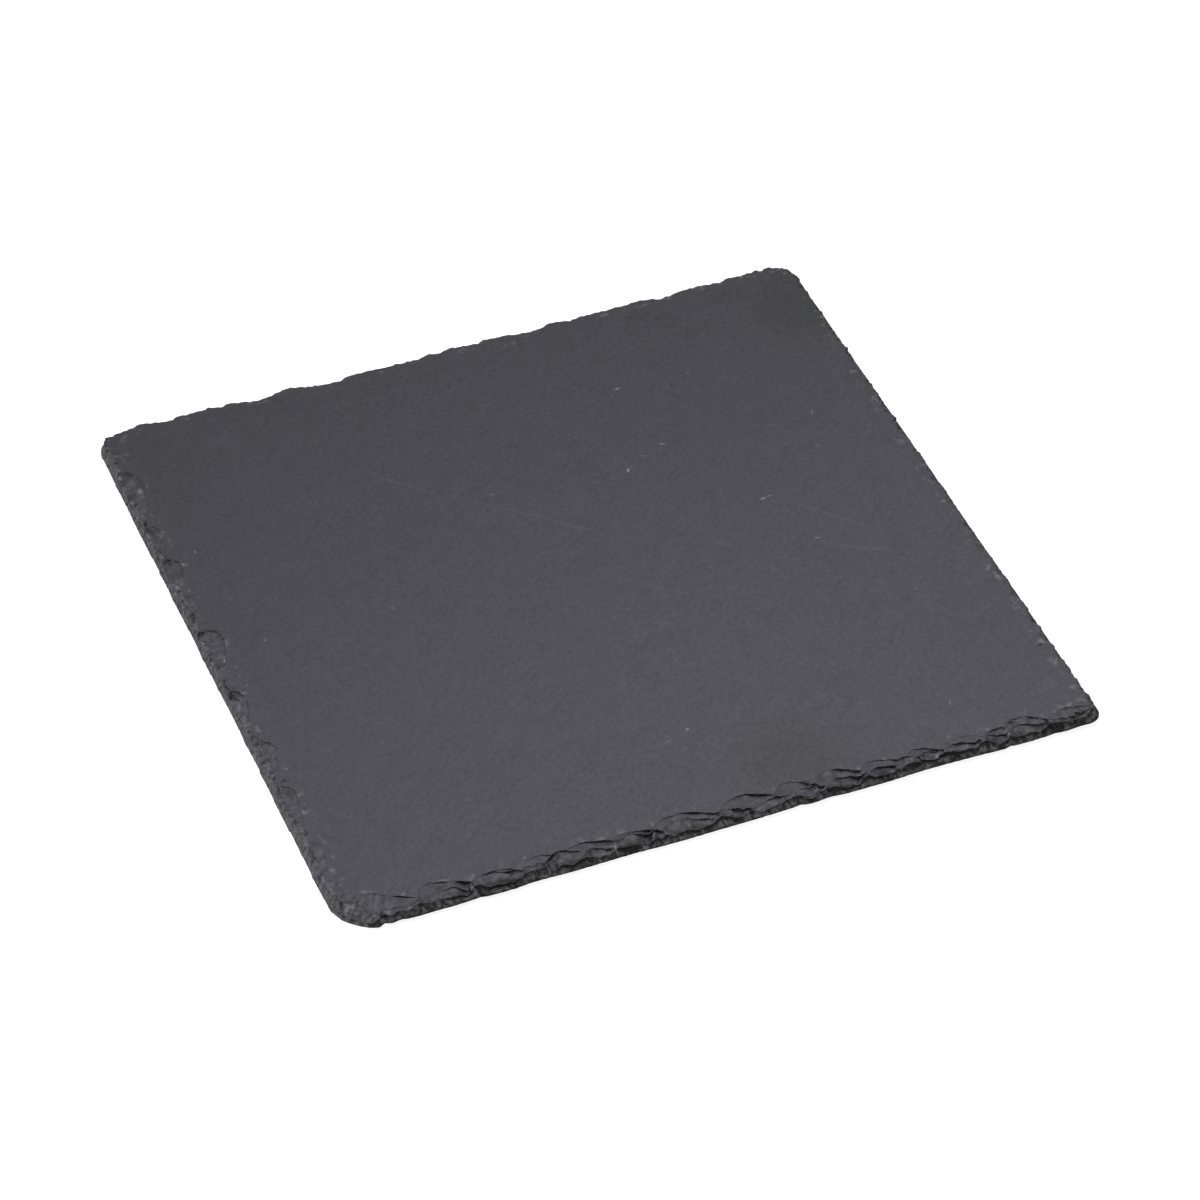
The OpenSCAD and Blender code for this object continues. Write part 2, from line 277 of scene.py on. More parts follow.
class StudioSizes(bpy.types.PropertyGroup):
    """Camera and lights of the plain studio"""

    camera_place: place_at("Camera place", "Where the camera stands", (-0.4311, -1.1758, 1.0769))
    camera_turn: FloatVectorProperty(
        name="Camera turn", description="How the camera is turned", subtype="EULER", unit="ROTATION",
        size=3, default=(math.radians(49.1097), math.radians(1.0532), math.radians(-21.2883)))
    camera_lens: FloatProperty(
        name="Lens", description="Focal length on a sensor 36 mm wide, in millimetres",
        default=154.68, min=1.0)
    side_place: place_at("Side light place", "Where the soft lamp at the left stands", (-2.8, 0.9, 1.15))
    side_power: power("Side light", "Power of the soft lamp at the left", 100.0)
    top_place: place_at(
        "Top light place", "Where the soft lamp over the front stands", (0.03, -0.15, 0.34))
    top_power: power("Top light", "Power of the soft lamp over the front", 1.8)
    sky_level: FloatProperty(
        name="Sky level", description="Strength of the even light from all sides", default=0.07, min=0.0)


def mix(a, b, share):
    return a + (b - a) * share


def clamp(value):
    return max(0.0, min(1.0, value))


def scatter(number, use):
    """A fixed number from 0 to 1 for each whole number and each use of it."""
    turned = math.sin(math.radians(number * 127.1 + use * 311.7)) * 43758.5453
    return turned - math.floor(turned)


def between(low, high, number, use):
    return mix(low, high, scatter(number, use))


def wave(run, per_metre, seed):
    """Smooth noise along the outline, from -1 to 1."""
    return noise.noise(Vector((run * per_metre, seed, 0)))


def shell(x, y, z, pattern):
    """Distances from a point to the middles of the nearest hollows of a pattern, in their own widths."""
    wide, high, seed = pattern
    return noise.voronoi(Vector((x / wide, y / wide, z / high + seed)))[0]


def bow(along, start, peak, end):
    """Height of a skewed bow over a stretch: 1 at its peak, 0 at its ends and beyond them."""
    if not start < along < end:
        return 0.0
    if along < peak:
        return (1 - ((peak - along) / (peak - start)) ** BOW_RISE[0]) ** BOW_RISE[1]
    return (1 - ((along - peak) / (end - peak)) ** BOW_FALL[0]) ** BOW_FALL[1]


def table_at(table, along):
    """Value of a table of places and values at a place in between."""
    for (start, low), (end, high) in zip(table, table[1:]):
        if along < end:
            return mix(low, high, clamp((along - start) / (end - start)))
    return table[-1][1]


class Edge:
    """The slab's outline and the layers broken off along it, by run along the outline."""

    # Lengths in from either corner over which sides blend, and over which breaks fade out
    corner_blend = 0.02
    corner_calm = 0.008
    # Least width of a step from one layer to the next, and of the floor that a chip leaves
    step = 0.00006
    least_floor = 0.0010
    # How far the chip and the wall keep in front of the rim along the back
    back_chip, back_wall = 0.0005, 0.0018
    # Slopes of the floors under the sheets and under the chips
    sheet_slope, chip_slope = 0.22, 0.40
    # Bumps a metre in a layer's thickness, and their strength
    thick_bumps, thick_swing = 260, 1.5
    # A flake's thickness at its thin end, as a share, and the length over which two flakes blend
    thin_end, overlap = 0.06, 0.0012
    # Usual length and reach of the small bites out of the wall
    scallop_len, scallop_reach = 0.0065, 0.0008
    # Reach of the sunken front left corner along the outline
    sunken = 0.011

    def __init__(self, sizes):
        self.sizes = sizes
        self.half = Vector(((slab_high.x - slab_low.x) / 2, (slab_high.y - slab_low.y) / 2))
        self.lens = [2 * self.half[k % 2] for k in range(4)]
        self.starts = [sum(self.lens[:k]) for k in range(4)]
        self.perimeter = sum(self.lens)
        self.width = sizes.wall_lean + sizes.band_w
        self.thick = slab_high.z - slab_low.z
        self.cuts = (
            (sizes.front_left_cut,) * 2, (sizes.front_right_cut,) * 2, (sizes.back_right_cut,) * 2,
            (sizes.back_left_cut_w, sizes.back_left_cut_d))
        self.face_cuts = ((sizes.face_corner_cut,) * 2,) * 4
        self.steps = self.outline_steps()
        self.sheets = self.placed(0, FRONT_SHEETS) + self.placed(3, LEFT_SHEETS)
        self.sheets += self.scattered((1, 2), sizes.sheet_len, sizes.sheet_reach, 12)
        self.chips = self.placed(0, FRONT_CHIPS)
        self.chips += self.scattered((1, 2, 3), sizes.chip_len, sizes.chip_reach, 22)
        self.scallops = self.scattered((0, 1, 2, 3), self.scallop_len, self.scallop_reach, 32)
        self.known = {}

    def placed(self, k, table):
        """Flakes of a table: start, peak and end by run, reach, thickness, and if the start is thick."""
        flakes = []
        for start, peak, end, reach, thick in table:
            middle = self.starts[k] + self.half[k % 2]
            if k == 3:
                start, peak, end = -end, -peak, -start
            runs = [middle + along / 1000 for along in (start, peak, end)]
            flakes.append((*runs, reach / 1000, abs(thick), (k == 3) != (thick < 0)))
        return flakes

    def scattered(self, sides, usual_len, usual_reach, use):
        """Flakes along whole sides, each a little off its even place and its usual size."""
        flakes = []
        for k in sides:
            count = round(self.lens[k] / usual_len / 0.8)
            for number in range(count):
                n = 97 * k + number
                half_len = usual_len * between(0.35, 0.8, n, use)
                peak = self.starts[k] + (number + between(0.1, 0.9, n, use + 1)) / count * self.lens[k]
                lean = between(-0.4, 0.4, n, use + 2) * half_len
                reach = usual_reach * between(0.55, 1.4, n, use + 3)
                nearest = min(abs(peak - at) for at in self.starts + [self.perimeter])
                reach *= mix(0.4, 1.0, clamp(nearest / 0.018))
                reach *= SCATTERED_REACHES[k]
                thick = between(0.4, 1.0, n, use + 4) * SCATTERED_THICKS[k]
                flakes.append((peak - half_len - lean, peak, peak + half_len - lean, reach, thick, k > 1))
        return flakes

    def deepest(self, flakes, run):
        """Reach and thickness share of the flake that reaches furthest in at a run."""
        found = [(0.0, 0.3), (0.0, 0.3)]
        for start, peak, end, reach, share, turned in flakes:
            along = (run - peak + self.perimeter / 2) % self.perimeter - self.perimeter / 2 + peak
            depth = bow(along, start, peak, end) * reach
            if depth > 0:
                part = (along - start) / (end - start)
                part = (1 - part if turned else part) ** 2.2
                found.append((depth, share * mix(self.thin_end, 1.0, math.sin(math.pi * part) ** 0.9)))
        (best, thick), (second, other) = sorted(found, reverse=True)[:2]
        return best, mix(other, thick, clamp(0.5 + (best - second) / self.overlap))

    def outline_steps(self):
        """Stretches of the outline, as end of run, inset at either end, and bow between them."""
        steps = []
        run, number = 0.0, 0
        while run < self.perimeter:
            k = min(3, int(run / self.perimeter * 4))
            run += between(0.005, 0.017, number, 50)
            rough = OUTLINE_ROUGHNESS[k]
            low, high = rough * scatter(number, 51), rough * scatter(number, 52)
            steps.append((run, low, high, rough * 0.35 * scatter(number, 53)))
            number += 1
        return steps

    def side_of(self, run):
        """Side at a run, and the run from the side's middle."""
        k = max(i for i in range(4) if run >= self.starts[i])
        return k, run - self.starts[k] - self.lens[k] / 2

    def by_side(self, values, run):
        """One of four values, a value for each side, blended over the corners."""
        k, along = self.side_of(run)
        other = (k + (1 if along > 0 else -1)) % 4
        corner = self.lens[k] / 2 - abs(along)
        return mix(values[other], values[k], clamp(0.5 + corner / self.corner_blend))

    def bite(self, run):
        """How far the outline is broken back at a run."""
        k, along = self.side_of(run)
        fine = 0.00014 * wave(run, 700, 3.1)
        corner = clamp((self.lens[k] / 2 - abs(along)) / self.corner_calm)
        if k == 0:
            return (table_at(FRONT_FOOT, along * 1000) / 1000 + fine) * corner
        start = 0.0
        for end, low, high, bowed in self.steps:
            if run < end:
                t = (run - start) / (end - start)
                break
            start = end
        return max(0.0, mix(low, high, t) + 4 * bowed * t * (1 - t) + fine) * corner

    def ragged(self, run, seed):
        """Small swings of a broken line along the edge."""
        coarse = 0.0005 * wave(run, 180, seed)
        return coarse + 0.0004 * wave(run, 600, seed) + 0.0002 * wave(run, 1700, seed)

    def swing(self, run, seed):
        """Share by which a layer is thicker or thinner at a run."""
        return max(0.05, 1 + self.thick_swing * wave(run, self.thick_bumps, seed))

    def profile(self, run):
        """Insets of foot, wall, chip and sheet at a run, then the heights where they meet, outside in."""
        run %= self.perimeter
        key = round(run * 1e6)
        if key in self.known:
            return self.known[key]
        s = self.sizes
        k, along = self.side_of(run)
        corner = self.lens[k] / 2 - abs(along)
        ragged = self.ragged(run, 0.7) * mix(0.3, 1.0, clamp(corner / self.corner_calm))
        foot = self.bite(run)
        wall = foot + self.by_side(WALL_LEANS, run) * s.wall_lean
        wall += self.deepest(self.scallops, run)[0] + ragged * 0.6
        chip, chip_thick = self.deepest(self.chips, run)
        chip = max(chip, wall + self.least_floor + ragged)
        chip += ragged
        sheet, sheet_thick = self.deepest(self.sheets, run)
        sheet = max(sheet + self.ragged(run, 5.7), chip + self.step)
        if k == 2:
            rim = table_at(BACK_RIM, -along * 1000) / 1000 + ragged * 1.1
            share = clamp(corner / 0.015)
            sheet = mix(sheet, rim, share)
            chip = mix(chip, rim - self.back_chip - ragged * 0.5, share)
            wall = mix(wall, rim - self.back_wall - ragged, share)
        wall = max(wall, foot + 0.0001)
        chip = max(chip, wall + self.step)
        sheet = min(max(sheet, chip + self.step), self.width - 0.0004)
        sheet_thick *= self.swing(run, 9.1)
        chip_thick *= self.swing(run, 2.1)
        sheet_foot = self.thick - s.sheet_depth * sheet_thick
        chip_top = sheet_foot - self.sheet_slope * (sheet - chip)
        chip_foot = chip_top - s.chip_depth * chip_thick
        wall_top = chip_foot - self.chip_slope * (chip - wall)
        sink = s.corner_sink * clamp(1.6 - min(run, self.perimeter - run) / self.sunken)
        chip_top, chip_foot, wall_top = chip_top - 0.4 * sink, chip_foot - 0.45 * sink, wall_top - sink
        self.known[key] = foot, wall, chip, sheet, wall_top, chip_foot, chip_top, sheet_foot
        return self.known[key]

    def spot(self, k, inset):
        """Corner k of the square outline, drawn in by an inset."""
        return Vector([CORNER_SIGNS[k % 4][i] * (self.half[i] - inset) for i in range(2)])

    def place(self, run, inset, cuts):
        """The point of the outline at a run, for the outline drawn in by an inset."""
        run %= self.perimeter
        k = self.side_of(run)[0]
        along = run - self.starts[k]
        before, after = cuts[k]
        next_before, next_after = cuts[(k + 1) % 4]
        if along < inset + after:
            zone = 2 * inset + before + after
            return self.corner(k, inset, cuts, (along + inset + before) / zone)
        if along > self.lens[k] - inset - next_before:
            zone = 2 * inset + next_before + next_after
            share = (along - self.lens[k] + inset + next_before) / zone
            return self.corner((k + 1) % 4, inset, cuts, share)
        inward = Vector((-SIDE_DIRS[k][1], SIDE_DIRS[k][0]))
        return self.spot(k, 0) + Vector(SIDE_DIRS[k]) * along + inward * inset

    def corner(self, k, inset, cuts, share):
        """A point of corner k's cut, at a share of the way round it."""
        before = -Vector(SIDE_DIRS[k - 1]) * cuts[k][0]
        after = Vector(SIDE_DIRS[k]) * cuts[k][1]
        chamfer = before.lerp(after, share)
        turn = share * math.pi / 2
        arc = before * (1 - math.sin(turn)) + after * (1 - math.cos(turn))
        return self.spot(k, inset) + chamfer.lerp(arc, CORNER_ROUNDNESS[k])

    def face_rim(self, run):
        """The point at a run where the flat face meets the flaked band."""
        return self.place(run, self.width, self.face_cuts)

    def point(self, run, inset, height):
        """A point of the edge at an inset from the square outline, and a height over the underside."""
        spot = self.place(run, 0, self.cuts).lerp(self.face_rim(run), inset / self.width)
        return Vector((spot.x, spot.y, slab_low.z + height))


def face_relief(x, y):
    """Gentle unevenness of the split face."""
    return sum(noise.noise(Vector((x * waves, y * waves, seed))) * high for waves, seed, high in FACE_WAVES)


def new_piece(name, mesh_maker, material):
    mesh = bpy.data.meshes.new(name)
    bm = bmesh.new()
    mesh_maker(bm)
    bmesh.ops.recalc_face_normals(bm, faces=bm.faces)
    bm.to_mesh(mesh)
    bm.free()
    piece = bpy.data.objects.new(name, mesh)
    bpy.context.scene.collection.objects.link(piece)
    mesh.materials.append(material)
    return piece


def slab_mesh(bm, sizes):
    """The whole slab: the serving face, then rings outward and down to the underside, each round the last."""
    edge = Edge(sizes)
    run_of, rim, ridge, wall, painted_shade, thin, floor, painted_light = (
        bm.verts.layers.float.new(name)
        for name in "run rim ridge wall gap thin floor pale".split())
    steep = bm.faces.layers.float.new("steep")

    def rim_spot(k, share):
        return edge.face_rim(edge.starts[k] + share * edge.lens[k])

    corners = [rim_spot(k, 0) for k in range(4)]

    def cap_spot(u, v):
        """The face drawn between its four rims, so that it meets the rings of the band."""
        across = rim_spot(0, u).lerp(rim_spot(2, 1 - u), v)
        along = rim_spot(3, 1 - v).lerp(rim_spot(1, v), u)
        middle = corners[0].lerp(corners[1], u).lerp(corners[3].lerp(corners[2], u), v)
        return across + along - middle

    def make_cap(top, n, finer):
        """The serving face or the underside, with more points along its border."""
        for v in bm.verts:
            v.tag = True
        bmesh.ops.create_grid(bm, x_segments=n, y_segments=n, size=1.0)
        border = [e for e in bm.edges if e.is_boundary and not e.verts[0].tag]
        bmesh.ops.subdivide_edges(bm, edges=border, cuts=finer - 1)
        for v in bm.verts:
            if v.tag:
                continue
            x, y = v.co.x, v.co.y
            if v.is_boundary:
                sides = (1 + y, 1 - x, 1 - y, 1 + x)
                k = min(range(4), key=lambda i: sides[i])
                share = ((x + 1) / 2, (y + 1) / 2, (1 - x) / 2, (1 - y) / 2)[k]
                v[run_of] = (edge.starts[k] + share * edge.lens[k]) % edge.perimeter
            spot = cap_spot((x + 1) / 2, (y + 1) / 2)
            fade = clamp((1 - max(abs(x), abs(y))) * 8)
            lift = face_relief(spot.x, spot.y) - FACE_SINK
            v.co = (spot.x, spot.y, slab_high.z + lift * fade if top else slab_low.z)
        return [e for e in bm.edges if e.is_boundary and not e.verts[0].tag]

    def grow(loop, placer, *settings):
        """Put one more ring on, outward from a loop of edges."""
        outer = {}
        for old in dict.fromkeys(v for line in loop for v in line.verts):
            v = outer[old] = bm.verts.new(old.co, old)
            for layer in (rim, ridge, painted_shade, thin, floor, painted_light):
                v[layer] = 0.0
            profile = edge.profile(v[run_of])
            inset, height = placer(v, profile[:4], profile[4:], *settings)
            v.co = edge.point(v[run_of], inset, height)
        fresh = []
        for line in loop:
            start = line.link_loops[0].vert
            end = line.other_vert(start)
            bm.faces.new((end, start, outer[start], outer[end]))
            fresh.append(bm.edges.get((outer[start], outer[end])))
        return fresh

    def uneven(v, amount, seed):
        return amount * wave(v[run_of], 260, seed)

    def on_face(v, insets, heights, share, glint):
        """A ring of the face at a share of the way to its rim, with a share of the rim's glints."""
        v[rim] = glint * edge.by_side(RIM_GLINTS, v[run_of])
        return mix(edge.width, insets[3], share), edge.thick - RIM_DROP * share ** 6

    def undercut(height):
        """How far in the foot of a riser lies from its top: thick layers overhang."""
        return OVERHANG * height - RISER_SLANT

    def at_riser(v, insets, heights, layer, foot):
        """Top or foot of the riser at a chip (layer 0) or a sheet (layer 1)."""
        top = (heights[2], edge.thick - edge.step)[layer]
        low = (heights[1], heights[3])[layer]
        # The riser of a thick layer gets painted shade, broken up along the edge
        shade_share = 0.85 * clamp((top - low - THIN_LAYER / 2) / THIN_LAYER)
        v[painted_shade] = shade_share * clamp(0.5 + uneven(v, 2.6, 6.1))
        v[thin] = clamp(1.2 - (top - low) / THIN_LAYER)
        return insets[2 + layer] + (undercut(top - low) if foot else 0), low if foot else top

    def on_floor(v, insets, heights, layer, share):
        """A ring of the floor that a chip or a sheet leaves, at a share of the way out."""
        high = (heights[1], heights[3])[layer]
        low = (heights[0], heights[2])[layer]
        top = (heights[2], edge.thick)[layer]
        start = insets[2 + layer] + undercut(top - high)
        end = insets[1 + layer]
        width = max(0.0, start - end)
        lump = uneven(v, min(0.00012, width * 0.05), 3.3 * layer + share * 2)
        v[floor] = clamp(width / 0.001) * (2.2 - 1.2 * layer) * edge.by_side(PATCHY_FLOORS, v[run_of])
        return mix(start, max(end, start - width), share), mix(high, low, share) + lump

    def on_wall(v, insets, heights, share):
        """A ring of the broken wall at a share of its height, with shell-shaped hollows."""
        run = v[run_of]
        spot = edge.place(run, 0, edge.cuts)
        height = heights[0] * share
        lean = edge.by_side(SHARD_LEANS, run) + 0.3 * wave(run, 90, 8.2)
        near = shell(spot.x + lean * height, spot.y, height, SMALL_HOLLOWS)
        wide = shell(spot.x + lean * height, spot.y, height, LARGE_HOLLOWS)
        fade = clamp(share * 2.2) * clamp((1 - share) * 7)
        hollow = sizes.hollow * (0.62 - near[0] ** 2) + sizes.hollow * (0.7 - wide[0] ** 2)
        v[ridge] = clamp(1 - (near[1] - near[0]) / 0.25)
        # Painted light, by side: most on the left wall, which faces the side lamp
        v[painted_light] = edge.by_side(PAINTED_WALL_LIGHTS, run)
        v[wall] = 1.0
        # Painted shade under the wall's lip and towards its foot, by side
        shade_share = edge.by_side(LIP_SHADES, run)
        lip_shade = clamp(wave(run, 110, 4.4) * 3) * shade_share
        lip_shade *= clamp((share - 0.45) * 4) * clamp((1.02 - share) * 12)
        v[painted_shade] = max(lip_shade, 0.5 * clamp((0.22 - share) * 8) * shade_share)
        base = mix(insets[0], insets[1], share ** 0.9)
        rough = WALL_GRAINS * noise.noise(Vector((spot.x * 900, spot.y * 900, height * 900)))
        hollow *= edge.by_side(HOLLOWS, run)
        return base + (hollow + rough) * fade, height

    def on_underside(v, insets, heights):
        v[wall] = 0.0
        return edge.width, 0.0

    loop = make_cap(True, sizes.around, sizes.finer)
    for share, glint in ((0.4, 0.0), (0.7, 0.7), (0.9, 1.0), (0.98, 0.5)):
        loop = grow(loop, on_face, share, glint)
    for layer in (1, 0):
        loop = grow(loop, at_riser, layer, False)
        loop = grow(loop, at_riser, layer, True)
        for share in (0.15, 0.5, 0.88):
            loop = grow(loop, on_floor, layer, share)
    for row in range(sizes.wall_rows + 1):
        loop = grow(loop, on_wall, 1 - row / sizes.wall_rows)
    loop = grow(loop, on_underside)
    under = make_cap(False, sizes.around // sizes.under, sizes.finer * sizes.under)
    seam = dict.fromkeys(v for line in loop + under for v in line.verts)
    bmesh.ops.remove_doubles(bm, verts=list(seam), dist=0.00001)

    bmesh.ops.recalc_face_normals(bm, faces=bm.faces)
    bm.normal_update()
    for face in bm.faces:
        face.smooth = True
        turned = clamp((0.93 - abs(face.normal.z)) / 0.25) * (1 - min(v[thin] for v in face.verts))
        face[steep] = max(turned, min(v[wall] for v in face.verts))
    for line in bm.edges:
        line.smooth = line.calc_face_angle(0.0) < SHARP_TURN


class Nodes:
    """Makes the nodes of one tree and links them, to keep the materials short."""

    def __init__(self, tree):
        self.tree = tree
        self.tree.nodes.clear()

    def add(self, kind, values=None, **settings):
        node = self.tree.nodes.new(kind)
        for name, value in settings.items():
            setattr(node, name, value)
        for name, value in (values or {}).items():
            self.put(node, name, value)
        return node

    def put(self, node, name, value):
        socket = node.inputs[name]
        if isinstance(value, bpy.types.NodeSocket):
            self.tree.links.new(value, socket)
        else:
            socket.default_value = value

    def maths(self, operation, *values, clamp_it=False):
        values = dict(enumerate(values))
        return self.add("ShaderNodeMath", values, operation=operation, use_clamp=clamp_it).outputs[0]

    def times(self, a, b):
        return self.maths("MULTIPLY", a, b)

    def plus(self, a, b):
        return self.maths("ADD", a, b)

    def highest(self, a, b):
        return self.maths("MAXIMUM", a, b)

    def ramp(self, value, low, high, to_low=0.0, to_high=1.0):
        node = self.add(
            "ShaderNodeMapRange",
            {"Value": value, "From Min": low, "From Max": high, "To Min": to_low, "To Max": to_high})
        return node.outputs["Result"]

    def blend(self, share, a, b):
        """A colour between two others, each given as a socket or as three numbers."""
        a, b = (c if isinstance(c, bpy.types.NodeSocket) else (*c, 1.0) for c in (a, b))
        return self.add("ShaderNodeMix", {0: share, 6: a, 7: b}, data_type="RGBA").outputs[2]

    def vector(self, operation, first, second=None):
        """Vector maths. SCALE takes a number as its second value, and LENGTH takes none."""
        node = self.add("ShaderNodeVectorMath", {0: first}, operation=operation)
        if second is not None:
            self.put(node, "Scale" if operation == "SCALE" else 1, second)
        return node.outputs["Value" if operation == "LENGTH" else "Vector"]

    def use(self, group, **values):
        return self.add("ShaderNodeGroup", values, node_tree=group).outputs

    def noise(self, place, scale, detail=2.0, roughness=0.5):
        node = self.add(
            "ShaderNodeTexNoise",
            {"Vector": place, "Scale": scale, "Detail": detail, "Roughness": roughness})
        return node.outputs["Fac"]


def shared_group(name, inputs, outputs, fill):
    """A node group, made on its first use. An input without a usual value is a vector."""
    if name in bpy.data.node_groups:
        return bpy.data.node_groups[name]
    group = bpy.data.node_groups.new(name, "ShaderNodeTree")
    for label, value in inputs.items():
        kind = "NodeSocketVector" if value is None else "NodeSocketFloat"
        socket = group.interface.new_socket(label, in_out="INPUT", socket_type=kind)
        if value is not None:
            socket.default_value = value
    for label in outputs:
        group.interface.new_socket(label, in_out="OUTPUT", socket_type="NodeSocketFloat")
    nodes = Nodes(group)
    given = nodes.add("NodeGroupInput").outputs
    leave = nodes.add("NodeGroupOutput")
    for label, value in zip(outputs, fill(nodes, given)):
        nodes.put(leave, label, value)
    return group


def fill_grain(nodes, given):
    turned = nodes.add(
        "ShaderNodeVectorRotate", {"Vector": given["Place"], "Angle": given["Turn"]}, rotation_type="Z_AXIS")
    shrink = nodes.maths("DIVIDE", 1.0, given["Stretch"])
    squeeze = nodes.add("ShaderNodeCombineXYZ", {"X": shrink, "Y": 1.0, "Z": 1.0})
    drawn = nodes.vector("MULTIPLY", turned.outputs[0], squeeze.outputs[0])
    streaks = nodes.noise(drawn, given["Scale"], detail=3.0, roughness=0.6)
    finer = nodes.times(given["Scale"], 2.7)
    grains = nodes.noise(given["Place"], finer, roughness=0.6)
    height = nodes.plus(nodes.times(streaks, 0.6), nodes.times(grains, 0.4))
    swing = nodes.times(nodes.maths("SUBTRACT", height, 0.5), given["Contrast"])
    return nodes.plus(1.0, swing), height


def fill_flecks(nodes, given):
    cells = nodes.add("ShaderNodeTexVoronoi", {"Vector": given["Place"], "Scale": given["Scale"]})
    small = nodes.maths("LESS_THAN", cells.outputs["Distance"], given["Size"])
    parts = nodes.add("ShaderNodeSeparateColor", {"Color": cells.outputs["Color"]})
    rare = nodes.maths("LESS_THAN", parts.outputs[0], given["Share"])
    return (nodes.times(small, rare),)


def fill_mark(nodes, given):
    back = nodes.times(given["Turn"], -1.0)
    turned = nodes.add(
        "ShaderNodeVectorRotate", {"Vector": given["Place"], "Center": given["Middle"], "Angle": back},
        rotation_type="Z_AXIS")
    offset = nodes.vector("SUBTRACT", turned.outputs[0], given["Middle"])
    away = nodes.vector("LENGTH", nodes.vector("DIVIDE", offset, given["Size"]))
    return (nodes.times(nodes.ramp(away, 0.3, 1.1, 1.0, 0.0), given["Strength"]),)


def grain(nodes, place, scale, turn, stretch, contrast):
    """Tone and height of fine grain, drawn out along one direction."""
    inputs = {"Place": None, "Scale": 300.0, "Turn": 0.0, "Stretch": 3.0, "Contrast": 0.1}
    group = shared_group("drawn_grain", inputs, ("Tone", "Height"), fill_grain)
    return nodes.use(group, Place=place, Scale=scale, Turn=turn, Stretch=stretch, Contrast=contrast)


def flecks(nodes, place, scale, size, share):
    """Mask of rare small flecks."""
    inputs = {"Place": None, "Scale": 120.0, "Size": 0.06, "Share": 0.1}
    group = shared_group("rare_flecks", inputs, ("Mask",), fill_flecks)
    return nodes.use(group, Place=place, Scale=scale, Size=size, Share=share)["Mask"]


def marks_mask(nodes, place, marks, height):
    """Mask of all the marks of a table, at a height."""
    inputs = {"Place": None, "Middle": None, "Turn": 0.0, "Size": None, "Strength": 1.0}
    mask = 0.0
    for x, y, turn, half_len, half_w, strength in marks:
        group = shared_group("soft_mark", inputs, ("Mask",), fill_mark)
        one = nodes.use(
            group, Place=place, Middle=(x / 1000, y / 1000, height), Turn=math.radians(turn),
            Size=(half_len / 1000, half_w / 1000, MARK_HALF_HEIGHT), Strength=strength)["Mask"]
        mask = nodes.highest(mask, one)
    return mask


def new_material(name):
    """A material with its own emptied nodes, and the place that they read."""
    material = bpy.data.materials.new(name)
    material.use_nodes = True
    nodes = Nodes(material.node_tree)
    return material, nodes, nodes.add("ShaderNodeTexCoord").outputs["Object"]


def end_material(material, nodes, values, kind="ShaderNodeBsdfPrincipled"):
    """Put a shader with its values at the end of a material."""
    nodes.add("ShaderNodeOutputMaterial", {"Surface": nodes.add(kind, values).outputs[0]})
    return material


